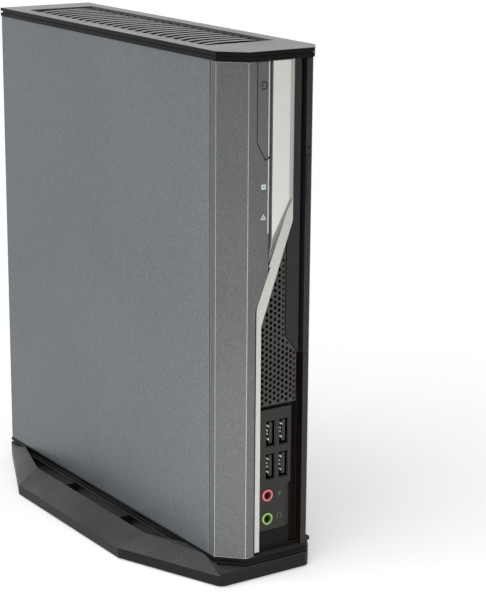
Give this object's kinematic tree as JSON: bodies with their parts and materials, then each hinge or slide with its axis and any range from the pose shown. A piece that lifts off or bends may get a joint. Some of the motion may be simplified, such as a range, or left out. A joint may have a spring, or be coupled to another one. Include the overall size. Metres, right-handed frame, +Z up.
{
  "type": "desktop computer",
  "caption": "Slim upright desktop computer in a winged stand, with a slotted top, a silver trimmed front, front sockets, a power button and a disc drawer that slides out.",
  "frame": {"origin": "on the floor, under the middle of the whole footprint", "axes": "+Z up, front face towards -Y, +X to the right as seen from the front"},
  "size_m": [0.1144, 0.245, 0.273],
  "materials": {
    "side_paint": "satin metallic paint",
    "bezel_grey": "satin metallic grey",
    "trim_silver": "satin silver",
    "front_black": "fine matte black",
    "door_dark": "satin dark grey",
    "cap_dark": "fine matte dark grey",
    "stand_charcoal": "textured charcoal",
    "foot_rubber": "matte",
    "zinc_sheet": "zinc plated",
    "screw_steel": "plated",
    "standoff_brass": "turned",
    "board_green": "solder mask",
    "fin_aluminium": "extruded",
    "inner_black": "matte",
    "tray_plastic": "matte",
    "plate_metal": "nickel plated",
    "lamp_clear": "clear",
    "jack_pink": "gloss",
    "jack_green": "gloss",
    "video_blue": "matte",
    "audio_block": "matte"
  },
  "bodies": {
    "computer": {"board_screws": "screw_steel", "board_standoffs": "standoff_brass", "bottom_cap": "cap_dark", "capacitors": "inner_black", "case_screws": "screw_steel", "chassis_frame": "zinc_sheet", "chassis_front": "zinc_sheet", "chassis_rear": "zinc_sheet", "chipset_heatsink": "fin_aluminium", "coin_cell": "plate_metal", "coin_cell_holder": "inner_black", "cover_thumbscrew": "screw_steel", "drive_bracket": "zinc_sheet", "drive_light_pipe": "lamp_clear", "drive_screws": "screw_steel", "fan_frame": "inner_black", "fan_screws": "screw_steel", "front_bezel": "bezel_grey", "front_frame": "front_black", "front_io_board": "board_green", "front_usb_shells": "plate_metal", "front_usb_tongues": "inner_black", "hard_drive": "fin_aluminium", "headphone_jack": "jack_green", "heatsink": "fin_aluminium", "indicator_lamps": "lamp_clear", "io_panel": "front_black", "lan_port": "plate_metal", "left_cover": "side_paint", "link_light_pipe": "lamp_clear", "memory_modules": "board_green", "memory_sockets": "inner_black", "microphone_jack": "jack_pink", "motherboard": "board_green", "optical_drive_case": "zinc_sheet", "power_inlet": "inner_black", "power_switch": "inner_black", "processor": "plate_metal", "processor_socket": "inner_black", "rear_audio_jacks": "audio_block", "rear_usb_ports": "plate_metal", "right_cover": "side_paint", "speaker": "inner_black", "stand_base": "stand_charcoal", "stand_feet": "foot_rubber", "stand_screws": "screw_steel", "switch_board": "board_green", "top_cap": "cap_dark", "tray_rails": "zinc_sheet", "trim_strip": "trim_silver", "vent_mesh": "front_black", "vga_port": "video_blue"},
    "power_key": {"power_button": "bezel_grey"},
    "disc_drawer": {"disc_tray": "tray_plastic", "drive_bezel": "door_dark", "sled_rods": "screw_steel"},
    "eject_key": {"eject_button": "door_dark"},
    "spindle": {"spindle_hub": "plate_metal"},
    "pickup": {"pickup_sled": "tray_plastic"},
    "fan": {"fan_rotor": "inner_black"}
  },
  "joints": [
    {"name": "power_press", "type": "slide", "parent": "computer", "child": "power_key", "axis": [0, 1, 0], "range_m": [0, 0.0012], "stiffness_N_per_m": 400, "springref_m": -0.001},
    {"name": "drawer_slide", "type": "slide", "parent": "computer", "child": "disc_drawer", "axis": [0, -1, 0], "range_m": [0, 0.125]},
    {"name": "eject_press", "type": "slide", "parent": "disc_drawer", "child": "eject_key", "axis": [0, 1, 0], "range_m": [0, 0.0008], "stiffness_N_per_m": 400, "springref_m": -0.001},
    {"name": "spindle_spin", "type": "hinge", "parent": "disc_drawer", "child": "spindle", "pos_m": [0.0205, -0.045, 0.19245], "axis": [1, 0, 0], "continuous": true},
    {"name": "pickup_slide", "type": "slide", "parent": "disc_drawer", "child": "pickup", "axis": [0, 1, 0], "range_m": [0, 0.028]},
    {"name": "fan_spin", "type": "hinge", "parent": "computer", "child": "fan", "pos_m": [0.012, 0.045, 0.083], "axis": [1, 0, 0], "continuous": true}
  ]
}
